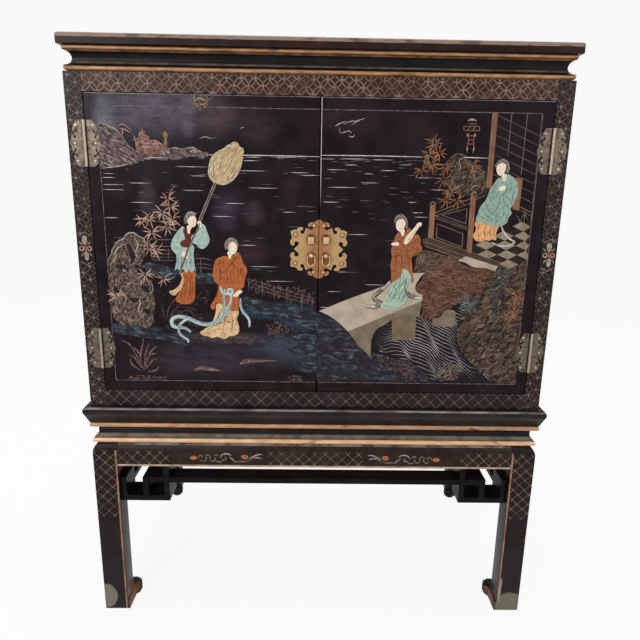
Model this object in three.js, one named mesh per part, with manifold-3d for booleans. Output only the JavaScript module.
// A lacquered cabinet on stand: a two-door case that rests on a moulded waist over an open stand with
// fretwork brackets. Millimetres, +Z up, front towards -Y, origin on the floor under the middle.
import * as THREE from 'three';
import { mergeVertices } from 'three/addons/utils/BufferGeometryUtils.js';
import Module from 'manifold-3d';

const wasm = await Module();
wasm.setup();

// Case: a box of boards behind a face frame
const caseWidth = 1000;
const caseDepth = 444;
const caseHeight = 700;
const caseBoard = 18;
const backBoard = 8;
const frameThickness = 20;
const stileWidth = 34.5;
const topRailHeight = 37.5;
const bottomRailHeight = 36.5;

// Doors, inset flush with the face frame
const doorThickness = 20;
const doorGap = 1;
const doorEase = 1.5;
const runningGap = 0.3;

// Shelf on four pins, and the catches behind the top rail
const shelfThickness = 18;
const shelfSideGap = 1;
const shelfSetback = 30;
const shelfRise = 330;
const pinRadius = 3;
const pinReach = 12;
const pinSink = 10;
const pinInset = 45;
const catchWidth = 44;
const catchDepth = 18;
const catchHeight = 34;
const catchOffset = 36;

// Cornice, from the case upwards
const corniceBeadHeight = 11;
const corniceBeadInset = 0.8;
const corniceFilletHeight = 2;
const scotiaHeight = 29;
const scotiaDepth = 12.5;
const neckBeadHeight = 8;
const topBoardHeight = 21;
const topOverhang = 6.2;
const topArris = 5;
const topFoot = 1;

// Waist, from the stand upwards
const waistBeadHeight = 12;
const waistBeadOverhang = 2.3;
const coveHeight = 27.5;
const coveInset = 8.5;
const coveFlareHeight = 13;
const coveFootInset = 0.6;
const ledgeBeadHeight = 12;
const ledgeBeadOverhang = 5;
const ledgeHeight = 40.5;
const ledgeOverhang = 13.6;
const ledgeFootOverhang = 3.8;
const ledgeNoseRadius = 8;
const ledgeTaperHeight = 27;
const mouldingCorner = 1.6;

// Stand
const standHeight = 446;
const standOverhang = 4;
const legWidth = 55;
const legCorner = 1.5;
const legCant = 20;
const apronHeight = 56;
const apronThickness = 22;
const shoulderHeight = 25;
const shoulderRadius = 29;
const edgeBeadWidth = 5;
const edgeBeadProud = 1.3;
const toeHeight = 34;
const toeCrest = 20;
const toeFlare = 5;
const toeRadius = 17;
const toeSeat = 3;
const footRound = 4;

// Fretwork between the legs
const fretSetback = 8;
const fretBar = 13.5;
const fretDrop = 35;
const fretHeight = 60.5;
const fretBoxReach = 50.5;
const fretPostReach = 112.5;
const stretcherDepth = 34;

// Hinges: surface leaves, nailed, with a pin in the frame leaf's knuckles
const hingeHeight = 90;
const hingeReach = 30;
const hingeEndInset = 98.5;
const leafThickness = 1.5;
const barrelRadius = 3;
const barrelProud = 3.3;
const hingePinRadius = 1.4;
const hingePinPlay = 0.4;
const nailRadius = 3.3;
const nailRise = 1.6;

// Lock plate, split between the doors, with padlock staples and drop bails
const plateWidth = 117;
const plateHeight = 126;
const plateShoulder = 74;
const plateCentre = 358;
const stapleWidth = 12.6;
const stapleHeight = 15.5;
const stapleReach = 11;
const stapleBore = 3.9;
const stapleSpacing = 31.7;
const stapleRise = 20;
const bailSpacing = 30.7;
const bailDrop = 13;
const ballRadius = 5.15;
const ballReach = 8.4;
const postRadius = 2.6;
const collarRadius = 4.6;
const collarHeight = 1.2;
const bailWidth = 18.4;
const bailLength = 22.5;
const bailWireRadius = 1.25;
const bailPlay = 0.4;
const bailSink = 2.6;

// One overrun serves all cuts
const overrun = 2;

const halfWidth = caseWidth / 2;
const halfDepth = caseDepth / 2;
const frontFace = -halfDepth;
const waistHeight = waistBeadHeight + coveHeight + ledgeBeadHeight + ledgeHeight;
const caseBase = standHeight + waistHeight;
const caseTop = caseBase + caseHeight;
const openingHalf = halfWidth - stileWidth;
const openingBase = caseBase + bottomRailHeight;
const openingTop = caseTop - topRailHeight;

const cabinet = new THREE.Group();

// Finishes
const finish = (color, roughness, metalness) =>
  new THREE.MeshStandardMaterial({ color, roughness, metalness });
const blackLacquer = finish(0x1c181a, 0.25, 0);
const borderLacquer = finish(0x352b28, 0.35, 0);
const giltPaint = finish(0xb58653, 0.4, 0.3);
const innerLacquer = finish(0x2a1a17, 0.5, 0);
const plateBrass = finish(0xb8924f, 0.35, 1);
const hingeBrass = finish(0x8a8066, 0.45, 1);
const pinBrass = finish(0xa98a50, 0.4, 1);

function addPart(name, geometry, material, place = [0, 0, 0]) {
  const mesh = new THREE.Mesh(geometry, material);
  mesh.name = name;
  mesh.position.set(...place);
  cabinet.add(mesh);
  return mesh;
}

// Solids

function toManifold(geometry) {
  const bare = geometry.clone();
  bare.deleteAttribute('normal');
  bare.deleteAttribute('uv');
  const merged = mergeVertices(bare);
  return new wasm.Manifold(new wasm.Mesh({
    numProp: 3,
    vertProperties: new Float32Array(merged.attributes.position.array),
    triVerts: new Uint32Array(merged.index.array),
  }));
}

function fromManifold(solid) {
  const mesh = solid.getMesh();
  const geometry = new THREE.BufferGeometry();
  geometry.setAttribute('position', new THREE.BufferAttribute(mesh.vertProperties, 3));
  geometry.setIndex(new THREE.BufferAttribute(mesh.triVerts, 1));
  geometry.computeVertexNormals();
  return geometry;
}

const join = (first, ...others) =>
  fromManifold(others.reduce((solid, other) => solid.add(toManifold(other)), toManifold(first)));
const cut = (first, ...others) =>
  fromManifold(others.reduce((solid, other) => solid.subtract(toManifold(other)), toManifold(first)));

// A board from its lowest corner to its highest
function board(low, high) {
  const size = high.map((value, axis) => value - low[axis]);
  return new THREE.BoxGeometry(...size).translate(...low.map((value, axis) => value + size[axis] / 2));
}

// A closed solid through rings of points, each ring with as many points as the next. A fan from each
// end ring's middle closes it, and the faces are turned outwards by the sign of the volume.
function loft(rings) {
  const count = rings[0].length;
  const middle = (ring) => ring.reduce((sum, p) => sum.add(p), new THREE.Vector3()).divideScalar(count);
  const points = [...rings.flat(), middle(rings[0]), middle(rings.at(-1))];
  const lastRing = (rings.length - 1) * count;
  const faces = [];
  for (let i = 0; i < count; i += 1) {
    const next = (i + 1) % count;
    for (let row = 0; row < lastRing; row += count) {
      faces.push([row + i, row + next, row + count + next], [row + i, row + count + next, row + count + i]);
    }
    faces.push([points.length - 2, next, i], [points.length - 1, lastRing + i, lastRing + next]);
  }
  const volume = faces.reduce((sum, [a, b, c]) =>
    sum + points[a].dot(new THREE.Vector3().crossVectors(points[b], points[c])), 0);
  const geometry = new THREE.BufferGeometry().setFromPoints(points);
  geometry.setIndex(faces.flatMap(([a, b, c]) => (volume > 0 ? [a, b, c] : [a, c, b])));
  geometry.computeVertexNormals();
  return geometry;
}

// Outline points [across, up] drawn on a plane and drawn out square to it
function extrude(outline, length, axes, place, holes = []) {
  const toPoint = ([across, up]) => new THREE.Vector2(across, up);
  const shape = new THREE.Shape(outline.map(toPoint));
  holes.forEach((hole) => shape.holes.push(new THREE.Path(hole.map(toPoint))));
  const geometry = new THREE.ExtrudeGeometry(shape, { depth: length, bevelEnabled: false });
  return geometry.applyMatrix4(new THREE.Matrix4().makeBasis(...axes)).translate(...place);
}

const unitX = new THREE.Vector3(1, 0, 0);
const unitY = new THREE.Vector3(0, 1, 0);
const unitZ = new THREE.Vector3(0, 0, 1);
const alongX = [unitY, unitZ, unitX];
const forward = [unitX, unitZ, unitY.clone().negate()];

// Points of an arc about a centre, from one angle to another in degrees, both ends included
function arc([x, y], radius, from, to, steps) {
  return Array.from({ length: steps + 1 }, (_, i) => {
    const angle = THREE.MathUtils.degToRad(from + ((to - from) * i) / steps);
    return [x + radius * Math.cos(angle), y + radius * Math.sin(angle)];
  });
}

// Mouldings: boards whose four edges are worked to one profile of [overhang, height] points, mitred
// at eased corners. Overhang is counted from the case's own sides.
function mouldedBoard(profile, base) {
  const cornerSteps = 2;
  const quarters = [[1, 1, 0], [-1, 1, 90], [-1, -1, 180], [1, -1, 270]];
  const rings = profile.map(([overhang, height]) => quarters.flatMap(([sx, sy, start]) => arc(
    [sx * (halfWidth + overhang - mouldingCorner), sy * (halfDepth + overhang - mouldingCorner)],
    mouldingCorner, start, start + 90, cornerSteps,
  ).map(([x, y]) => new THREE.Vector3(x, y, base + height))));
  return loft(rings);
}

// A half-round edge between two heights, with its crest at the given overhang
function beadProfile(overhang, low, high) {
  const radius = (high - low) / 2;
  return arc([overhang - radius, low + radius], radius, -90, 90, 6);
}

// Cornice: gilt bead, scotia neck, gilt bead and the eased top board
const scotiaBase = caseTop + corniceBeadHeight;
const neckBeadBase = scotiaBase + scotiaHeight;
const topBoardBase = neckBeadBase + neckBeadHeight;
const beadRoot = corniceBeadInset + (corniceBeadHeight - corniceFilletHeight) / 2;

addPart('cornice_bead_lower', mouldedBoard([
  [-beadRoot, 0],
  ...beadProfile(-corniceBeadInset, corniceFilletHeight, corniceBeadHeight),
], caseTop), giltPaint);

// The scotia is one arc whose chord is its height and whose rise is its depth
const scotiaRadius = ((scotiaHeight / 2) ** 2 + scotiaDepth ** 2) / (2 * scotiaDepth);
const scotiaHalfAngle = THREE.MathUtils.radToDeg(Math.asin(scotiaHeight / 2 / scotiaRadius));
const scotiaCentre = [scotiaRadius - scotiaDepth - corniceBeadInset, scotiaHeight / 2];
addPart('cornice_scotia', mouldedBoard(
  arc(scotiaCentre, scotiaRadius, 180 + scotiaHalfAngle, 180 - scotiaHalfAngle, 9),
  scotiaBase,
), blackLacquer);

addPart('cornice_bead_upper', mouldedBoard(beadProfile(0, 0, neckBeadHeight), neckBeadBase), giltPaint);

addPart('top_board', mouldedBoard([
  [topOverhang - topFoot, 0],
  [topOverhang, topFoot],
  ...arc([topOverhang - topArris, topBoardHeight - topArris], topArris, 0, 90, 4),
], topBoardBase), blackLacquer);

// Waist: gilt bead on the stand, cove neck, gilt bead and the ledge that carries the case
const coveBase = standHeight + waistBeadHeight;
const ledgeBeadBase = coveBase + coveHeight;
const ledgeBase = ledgeBeadBase + ledgeBeadHeight;

addPart('waist_bead_lower',
  mouldedBoard(beadProfile(waistBeadOverhang, 0, waistBeadHeight), standHeight), giltPaint);

const coveRun = coveInset - coveFootInset;
addPart('waist_cove', mouldedBoard([
  ...Array.from({ length: 7 }, (_, i) => {
    const angle = (Math.PI / 2) * (i / 6);
    return [-coveFootInset - coveRun * Math.sin(angle), coveFlareHeight * (1 - Math.cos(angle))];
  }),
  [-coveInset, coveHeight],
], coveBase), blackLacquer);

addPart('waist_bead_upper',
  mouldedBoard(beadProfile(ledgeBeadOverhang, 0, ledgeBeadHeight), ledgeBeadBase), giltPaint);

const noseCentre = [ledgeOverhang - ledgeNoseRadius, ledgeHeight - ledgeNoseRadius];
addPart('waist_ledge', mouldedBoard([
  [ledgeFootOverhang, 0],
  ...arc([ledgeOverhang - ledgeNoseRadius, ledgeTaperHeight + ledgeNoseRadius / 3],
    ledgeNoseRadius, -30, 0, 2),
  ...arc(noseCentre, ledgeNoseRadius, 15, 80, 4),
], ledgeBase), blackLacquer);

// Case boards
const innerWidth = halfWidth - caseBoard;
const frameBack = frontFace + frameThickness;
const backFront = halfDepth - backBoard;
const caseFloor = caseBase + caseBoard;
const caseCeiling = caseTop - caseBoard;
const pinHeight = caseFloor + shelfRise;
const pinPlaces = [frameBack + pinInset, backFront - pinInset];

const shelfPin = (place, radius, low, high) =>
  new THREE.CylinderGeometry(radius, radius, high - low, 12)
    .rotateZ(Math.PI / 2)
    .translate((low + high) / 2, place, pinHeight);

for (const [side, sign] of [['left', -1], ['right', 1]]) {
  const outer = sign * halfWidth;
  const inner = sign * innerWidth;
  const blank = board(
    [Math.min(outer, inner), frameBack, caseBase],
    [Math.max(outer, inner), backFront, caseTop],
  );
  const sink = sign * (innerWidth + pinSink);
  const mouth = sign * (innerWidth - overrun);
  const bores = pinPlaces.map((place) =>
    shelfPin(place, pinRadius + runningGap, Math.min(sink, mouth), Math.max(sink, mouth)));
  addPart(`case_side_${side}`, cut(blank, ...bores), blackLacquer);

  const reach = sign * (innerWidth - pinReach);
  const tail = sink - sign * runningGap;
  pinPlaces.forEach((place, i) => {
    addPart(`shelf_pin_${side}_${['front', 'back'][i]}`,
      shelfPin(place, pinRadius, Math.min(reach, tail), Math.max(reach, tail)), pinBrass);
  });

  const stileInner = sign * openingHalf;
  addPart(`stile_${side}`, board(
    [Math.min(outer, stileInner), frontFace, caseBase],
    [Math.max(outer, stileInner), frameBack, caseTop],
  ), borderLacquer);
}
addPart('case_bottom',
  board([-innerWidth, frameBack, caseBase], [innerWidth, backFront, caseFloor]), innerLacquer);
addPart('case_top',
  board([-innerWidth, frameBack, caseCeiling], [innerWidth, backFront, caseTop]), innerLacquer);
addPart('back_panel',
  board([-halfWidth, backFront, caseBase], [halfWidth, halfDepth, caseTop]), blackLacquer);
addPart('rail_top',
  board([-openingHalf, frontFace, openingTop], [openingHalf, frameBack, caseTop]), borderLacquer);
addPart('rail_bottom',
  board([-openingHalf, frontFace, caseBase], [openingHalf, frameBack, openingBase]), borderLacquer);

const shelfBase = pinHeight + pinRadius + runningGap;
addPart('shelf', board(
  [-innerWidth + shelfSideGap, frameBack + shelfSetback, shelfBase],
  [innerWidth - shelfSideGap, backFront - runningGap, shelfBase + shelfThickness],
), innerLacquer);

for (const [side, sign] of [['left', -1], ['right', 1]]) {
  const near = sign * (catchOffset - catchWidth / 2);
  const far = sign * (catchOffset + catchWidth / 2);
  addPart(`catch_${side}`, board(
    [Math.min(near, far), frameBack + runningGap, caseCeiling - catchHeight],
    [Math.max(near, far), frameBack + runningGap + catchDepth, caseCeiling],
  ), innerLacquer);
}

// Doors: a slab whose front arris is eased all round
function doorSlab(lowX, highX) {
  const lowZ = openingBase + doorGap;
  const highZ = openingTop - doorGap;
  const ring = (depth, inset) => [
    [lowX + inset, lowZ + inset], [highX - inset, lowZ + inset],
    [highX - inset, highZ - inset], [lowX + inset, highZ - inset],
  ].map(([x, z]) => new THREE.Vector3(x, frontFace + depth, z));
  return loft([ring(doorThickness, 0), ring(doorEase, 0), ring(0, doorEase)]);
}
addPart('door_left', doorSlab(-openingHalf + doorGap, -doorGap), blackLacquer);
addPart('door_right', doorSlab(doorGap, openingHalf - doorGap), blackLacquer);

// Pierced brass: one side of a scrolled plate, with a tooth at its middle, a comma-shaped notch on
// each flank of the tooth and a hooked lobe over each notch. Shares are of the side's length, along
// the side and out from it.
const lobeShares = [
  [0, 0], [0.15, 0], [0.2, -0.045], [0.24, -0.005],
  [0.3, 0.012], [0.36, -0.004], [0.41, -0.05], [0.4, -0.085],
];
const notchCentreShare = [0.345, -0.17];
const notchRadiusShare = 0.068;
const toothShares = [[0.45, -0.15], [0.5, -0.095]];

function scrolledSide([x0, y0], [x1, y1]) {
  const half = [
    ...lobeShares,
    ...arc(notchCentreShare, notchRadiusShare, 50, 330, 6),
    ...toothShares,
  ];
  const mirrored = half.slice(1, -1).reverse().map(([along, out]) => [1 - along, out]);
  return [...half, ...mirrored].map(([along, out]) => [
    x0 + along * (x1 - x0) + out * (y1 - y0),
    y0 + along * (y1 - y0) - out * (x1 - x0),
  ]);
}

// A nail's domed head, proud of the plate it holds, about an axis that points to the front. Shares
// are of the head's radius and of its rise.
const nailShares = [[1, 0.2], [0.72, 0.75]];

function nailHead(x, z) {
  const root = -leafThickness / 2;
  const dome = nailShares.map(([across, up]) => [nailRadius * across, nailRise * up]);
  const profile = [[0, root], [nailRadius, root], ...dome, [0, nailRise]];
  return new THREE.LatheGeometry(profile.map(([r, up]) => new THREE.Vector2(r, up)), 8)
    .rotateX(Math.PI)
    .translate(x, frontFace - leafThickness, z);
}

const plateSheet = (outline) => extrude(outline, leafThickness, forward, [0, frontFace, 0]);

// Hinges. Outlines run from the pin outwards, and the sign turns them to the frame or the door.
const leafShoulderShare = 0.45;
const leafTopShares = [0.68, 0.44];
const leafNailShares = [0.5, 0.385];
const leafMiddleNailShare = 0.64;
const knuckleShares = { frame: [[0, 1 / 3], [2 / 3, 1]], door: [[1 / 3, 2 / 3]] };

function hingeLeaf(kind, pinX, sign, centreZ) {
  const axisY = frontFace - barrelProud;
  const edge = barrelRadius + runningGap;
  const reach = hingeReach - edge;
  const half = hingeHeight / 2;
  const top = [edge + reach * leafTopShares[0], hingeHeight * leafTopShares[1]];
  const tip = [hingeReach, 0];
  const outline = [
    [edge, -half],
    [edge + reach * leafShoulderShare, -half],
    ...scrolledSide([top[0], -top[1]], tip),
    ...scrolledSide(tip, top),
    [edge + reach * leafShoulderShare, half],
    [edge, half],
  ];
  const place = ([out, up]) => [pinX + sign * out, centreZ + up];
  const leaf = plateSheet(sign > 0 ? outline.map(place) : outline.map(place).reverse());

  const nails = [
    [edge + reach * leafNailShares[0], hingeHeight * leafNailShares[1]],
    [edge + reach * leafMiddleNailShare, 0],
    [edge + reach * leafNailShares[0], -hingeHeight * leafNailShares[1]],
  ].map(place).map(([x, z]) => nailHead(x, z));

  const rod = (radius, low, high, sides) => new THREE.CylinderGeometry(radius, radius, high - low, sides)
    .rotateX(Math.PI / 2)
    .translate(pinX, axisY, centreZ + (low + high) / 2);
  const knuckles = knuckleShares[kind].flatMap(([from, to]) => {
    const low = -half + from * hingeHeight + (from > 0 ? runningGap / 2 : 0);
    const high = -half + to * hingeHeight - (to < 1 ? runningGap / 2 : 0);
    const tongueEdge = pinX + sign * (edge + leafThickness);
    const tongueRoot = pinX + sign * (barrelRadius / 2);
    const tongue = board(
      [Math.min(tongueEdge, tongueRoot), frontFace - leafThickness, centreZ + low],
      [Math.max(tongueEdge, tongueRoot), frontFace, centreZ + high],
    );
    return [rod(barrelRadius, low, high, 16), tongue];
  });

  if (kind === 'frame') return join(leaf, ...nails, ...knuckles, rod(hingePinRadius, -half, half, 10));
  const bore = rod(hingePinRadius + hingePinPlay, -half, half, 12);
  return cut(join(leaf, ...nails, ...knuckles), bore);
}

const hingeHeights = { top: openingTop - hingeEndInset, bottom: openingBase + hingeEndInset };
for (const [side, sign] of [['left', -1], ['right', 1]]) {
  const pinX = sign * (openingHalf - doorGap / 2);
  for (const [level, height] of Object.entries(hingeHeights)) {
    addPart(`hinge_${level}_${side}_frame`, hingeLeaf('frame', pinX, sign, height), hingeBrass);
    addPart(`hinge_${level}_${side}_door`, hingeLeaf('door', pinX, -sign, height), hingeBrass);
  }
}

// Lock plate: a hexagon with a point up and a point down, sawn in two on the line between the doors
const plateMiddle = openingBase + plateCentre - bottomRailHeight;
const plateNailShares = [[0.83, 0.24], [0.17, 0.39]];

function halfPlate(sign) {
  const corners = [
    [0, -plateHeight / 2], [plateWidth / 2, -plateShoulder / 2],
    [plateWidth / 2, plateShoulder / 2], [0, plateHeight / 2],
  ];
  const outline = corners.slice(0, 3)
    .flatMap((corner, i) => scrolledSide(corner, corners[i + 1]).slice(0, -1))
    .concat([corners[3]])
    .map(([x, z]) => [x, plateMiddle + z]);
  const turned = sign > 0 ? outline : outline.map(([x, z]) => [-x, z]).reverse();
  const nails = plateNailShares.flatMap(([acrossShare, upShare]) => [1, -1].map((up) => nailHead(
    sign * (plateWidth / 2) * acrossShare, plateMiddle + up * plateHeight * upShare)));
  const kerf = board(
    [-doorGap, frontFace - leafThickness - overrun - nailRise, plateMiddle - plateHeight],
    [doorGap, frontFace + overrun, plateMiddle + plateHeight],
  );
  return cut(join(plateSheet(turned), ...nails), kerf);
}

// A staple: a square-shouldered eye that a padlock bar passes through, along X
function staple(centreX) {
  const round = stapleReach / 4;
  const back = -leafThickness;
  const front = back - stapleReach;
  const middle = plateMiddle + stapleRise;
  const half = stapleHeight / 2;
  const outline = [
    [back, middle - half], [back, middle + half],
    ...arc([front + round, middle + half - round], round, 90, 180, 2),
    ...arc([front + round, middle - half + round], round, 180, 270, 2),
  ].map(([y, z]) => [frontFace + y, z]);
  const bore = arc([frontFace + back - stapleReach / 2, middle], stapleBore, 0, 330, 11);
  return extrude(outline, stapleWidth, alongX, [centreX - stapleWidth / 2, 0, 0], [bore]);
}

// A ball post: collar on the plate, stem and ball, bored crosswise for the bail's ends
const bailAxisY = frontFace - ballReach;
const bailAxisZ = plateMiddle - bailDrop;

function ballPost(centreX) {
  const ballMiddle = ballReach - leafThickness;
  const neckAngle = THREE.MathUtils.radToDeg(Math.asin(postRadius / ballRadius));
  const ball = arc([0, ballMiddle], ballRadius, -90 + neckAngle, 90, 7).slice(0, -1);
  const profile = [
    [0, 0], [collarRadius, 0], [collarRadius, collarHeight / 2],
    [collarRadius - collarHeight / 2, collarHeight], [postRadius, collarHeight],
    ...ball, [0, ballMiddle + ballRadius],
  ];
  const post = new THREE.LatheGeometry(profile.map(([r, up]) => new THREE.Vector2(r, up)), 14)
    .rotateX(Math.PI)
    .translate(centreX, frontFace - leafThickness, bailAxisZ);
  const boreRadius = bailWireRadius + bailPlay;
  const bore = new THREE.CylinderGeometry(boreRadius, boreRadius, 2 * (ballRadius + overrun), 10)
    .rotateZ(Math.PI / 2)
    .translate(centreX, bailAxisY, bailAxisZ);
  return cut(post, bore);
}

// A drop bail: one bent wire, pear shaped, whose ends turn inwards into the ball. Shares are of the
// half span and of the drop, from the shoulder down to the lowest point.
const bailShares = [[0.93, 0.28], [1, 0.57], [0.74, 0.86], [0, 1]];

function dropBail(centreX) {
  const halfSpan = bailWidth / 2 - bailWireRadius;
  const drop = bailLength - bailWireRadius;
  const shoulder = ballRadius + bailWireRadius + runningGap;
  const sinkEnd = ballRadius - bailSink;
  const right = [
    [sinkEnd, 0], [ballRadius, 0], [shoulder, -bailWireRadius / 2],
    ...bailShares.map(([across, down]) => [halfSpan * across, -drop * down]),
  ];
  const left = right.slice(0, -1).map(([x, z]) => [-x, z]).reverse();
  const path = new THREE.CatmullRomCurve3([...right, ...left]
    .map(([x, z]) => new THREE.Vector3(centreX + x, bailAxisY, bailAxisZ + z)), false, 'centripetal');
  const ring = arc([0, 0], bailWireRadius, 0, 300, 5).map((point) => new THREE.Vector2(...point));
  const wire = { steps: 34, extrudePath: path, bevelEnabled: false };
  return new THREE.ExtrudeGeometry(new THREE.Shape(ring), wire);
}

for (const [side, sign] of [['left', -1], ['right', 1]]) {
  addPart(`lock_plate_${side}`, halfPlate(sign), plateBrass);
  addPart(`lock_staple_${side}`, staple(sign * stapleSpacing / 2), plateBrass);
  addPart(`pull_post_${side}`, ballPost(sign * bailSpacing / 2), plateBrass);
  addPart(`pull_bail_${side}`, dropBail(sign * bailSpacing / 2), plateBrass);
}

// Stand. The aprons and the legs' outer faces share one shoulder and one edge bead.
const standHalfX = halfWidth + standOverhang;
const standHalfY = halfDepth + standOverhang;
const apronBase = standHeight - apronHeight;
const beadTop = apronBase + edgeBeadWidth;
const shoulderBase = standHeight - shoulderHeight;

function shoulderInset(height) {
  const rise = Math.max(0, height - shoulderBase);
  return shoulderRadius - Math.sqrt(Math.max(0, shoulderRadius ** 2 - rise ** 2));
}

const shoulderHeights = Array.from({ length: 6 }, (_, i) => shoulderBase + (shoulderHeight * i) / 5);

// The edge bead's section: [share of its width back from the edge, share of its rise]
const edgeBeadShares = [[1, 0], [0.75, 1], [0.25, 1], [0, 0]];

// A leg's plan, seen from its outer corner: [inward along X, inward along Y]. The inner corner is
// canted, and at the foot it swells past the cant into a round toe. toe is the share of that swelling.
const toeSteps = 6;
const toeOpening = THREE.MathUtils.radToDeg(Math.acos((toeFlare + toeSeat) / toeRadius));

function legSection({ height, inset = 0, pull = 0, proud = 0, toe = 0 }) {
  const inner = legWidth + toeFlare * toe - pull;
  const bead = edgeBeadShares.map(([back, rise]) => [inner - back * edgeBeadWidth, inset - rise * proud]);
  const alongFront = [[inset + legCorner, inset], ...bead];
  const alongSide = alongFront.map(([a, b]) => [b, a]).reverse();
  const seat = legWidth - toeSeat;
  const lobe = arc([seat, seat], toeRadius - pull, -toeOpening, 90 + toeOpening, toeSteps);
  const corner = lobe.map(([a, b], i) => {
    const cant = (legCant * i) / toeSteps;
    const canted = [legWidth - cant - pull, legWidth - legCant + cant - pull];
    return [canted[0] + toe * (a - canted[0]), canted[1] + toe * (b - canted[1])];
  });
  return { height, plan: [...alongFront, ...corner, ...alongSide] };
}

// The toe, from the floor up: [share of the way from its crest to its top, share of the swelling].
// The foot's edge is rounded below the first full section.
const toeShares = [[0, 1], [0.5, 0.74], [0.85, 0.26], [1, 0.08], [1.5, 0]];
const roundShares = [[0, 1], [0.25, 0.34], [1, 0]];
const legLevels = [
  ...roundShares.map(([up, back]) =>
    ({ height: footRound * up, inset: footRound * back, pull: footRound * back, toe: 1 })),
  ...toeShares.map(([up, toe]) => ({
    height: toeCrest + up * (toeHeight - toeCrest), proud: edgeBeadProud * (1 - toe), toe,
  })),
  { height: beadTop - edgeBeadWidth / 4, proud: edgeBeadProud },
  { height: beadTop },
  ...shoulderHeights.map((height) => ({ height, inset: shoulderInset(height) })),
].map(legSection);

for (const [row, signY] of [['front', -1], ['back', 1]]) {
  for (const [side, signX] of [['left', -1], ['right', 1]]) {
    const rings = legLevels.map(({ height, plan }) => plan.map(([a, b]) =>
      new THREE.Vector3(signX * (standHalfX - a), signY * (standHalfY - b), height)));
    addPart(`leg_${row}_${side}`, loft(rings), blackLacquer);
  }
}

// Aprons: [out from the outer face, height], drawn along the length between two legs
const apronOutline = [
  [apronThickness, standHeight], [apronThickness, apronBase],
  ...edgeBeadShares.map(([up, rise]) => [-rise * edgeBeadProud, apronBase + up * edgeBeadWidth]).reverse(),
  ...shoulderHeights.map((height) => [shoulderInset(height), height]),
];
const apronHalfX = standHalfX - legWidth;
const apronHalfY = standHalfY - legWidth;

function apron(length, signOut, axes, place) {
  const outline = apronOutline.map(([inward, height]) => [-signOut * inward, height]);
  return extrude(signOut < 0 ? outline.reverse() : outline, length, axes, place);
}
const backward = [unitX.clone().negate(), unitZ, unitY];
addPart('apron_front',
  apron(2 * apronHalfX, -1, alongX, [-apronHalfX, -standHalfY, 0]), borderLacquer);
addPart('apron_back',
  apron(2 * apronHalfX, 1, alongX, [-apronHalfX, standHalfY, 0]), blackLacquer);
addPart('apron_left',
  apron(2 * apronHalfY, -1, forward, [-standHalfX, apronHalfY, 0]), borderLacquer);
addPart('apron_right',
  apron(2 * apronHalfY, -1, backward, [standHalfX, -apronHalfY, 0]), borderLacquer);

// Fretwork. A bracket's outline runs from the leg inwards: a strip on the leg, a foot bar, a box and
// a post that is housed against the apron.
const fretTop = apronBase - fretDrop;
const fretFloor = fretTop - fretHeight;
const fretDepth = legWidth - fretSetback;
const boxInner = fretBoxReach + fretBar;
const postInner = fretPostReach - fretBar;
const bracketOutline = [
  [0, fretFloor], [fretPostReach, fretFloor], [fretPostReach, apronBase], [postInner, apronBase],
  [postInner, fretTop], [fretBoxReach, fretTop], [fretBoxReach, fretFloor + fretBar],
  [fretBar, fretFloor + fretBar], [fretBar, fretTop], [0, fretTop],
];
const boxSpan = [boxInner, postInner];
const boxRise = [fretFloor + fretBar, fretTop - fretBar];

// Each row holds its name, the brackets' nearer face and the stretcher's, which is flush outside
const fretRows = [
  ['front', -standHalfY + fretSetback, -standHalfY + fretSetback],
  ['back', standHalfY - fretSetback - fretDepth, standHalfY - fretSetback - stretcherDepth],
];
for (const [row, nearY, stretcherY] of fretRows) {
  const fretY = nearY + fretDepth;
  for (const [side, sign] of [['left', 1], ['right', -1]]) {
    const across = (reach) => sign * (reach - apronHalfX);
    const outline = bracketOutline.map(([reach, height]) => [across(reach), height]);
    const blank = extrude(sign > 0 ? outline : outline.reverse(), fretDepth, forward, [0, fretY, 0]);
    const [low, high] = boxSpan.map(across).sort((a, b) => a - b);
    const box = board([low, nearY - overrun, boxRise[0]], [high, fretY + overrun, boxRise[1]]);
    addPart(`fret_${row}_${side}`, cut(blank, box), blackLacquer);
  }
  const stretcherHalf = apronHalfX - fretPostReach;
  addPart(`stretcher_${row}`, board(
    [-stretcherHalf, stretcherY, fretTop - fretBar],
    [stretcherHalf, stretcherY + stretcherDepth, fretTop],
  ), blackLacquer);
}

// The side frets are the same two brackets on one unbroken foot bar
const sideBracket = bracketOutline.slice(2).map(([reach, height]) => [reach - apronHalfY, height]);
const barTop = fretFloor + fretBar;
const sideOutline = [
  [fretPostReach - apronHalfY, barTop],
  ...sideBracket, [-apronHalfY, fretFloor], [apronHalfY, fretFloor],
  ...sideBracket.map(([across, height]) => [-across, height]).reverse(),
  [apronHalfY - fretPostReach, barTop],
];
const sideStarts = [['left', -standHalfX + fretSetback], ['right', standHalfX - fretSetback - fretDepth]];
for (const [side, nearX] of sideStarts) {
  const farX = nearX + fretDepth;
  const boxes = [1, -1].map((sign) => {
    const [low, high] = boxSpan.map((reach) => sign * (reach - apronHalfY)).sort((a, b) => a - b);
    return board([nearX - overrun, low, boxRise[0]], [farX + overrun, high, boxRise[1]]);
  });
  addPart(`fret_${side}`,
    cut(extrude(sideOutline, fretDepth, alongX, [nearX, 0, 0]), ...boxes), blackLacquer);
}

export default cabinet;
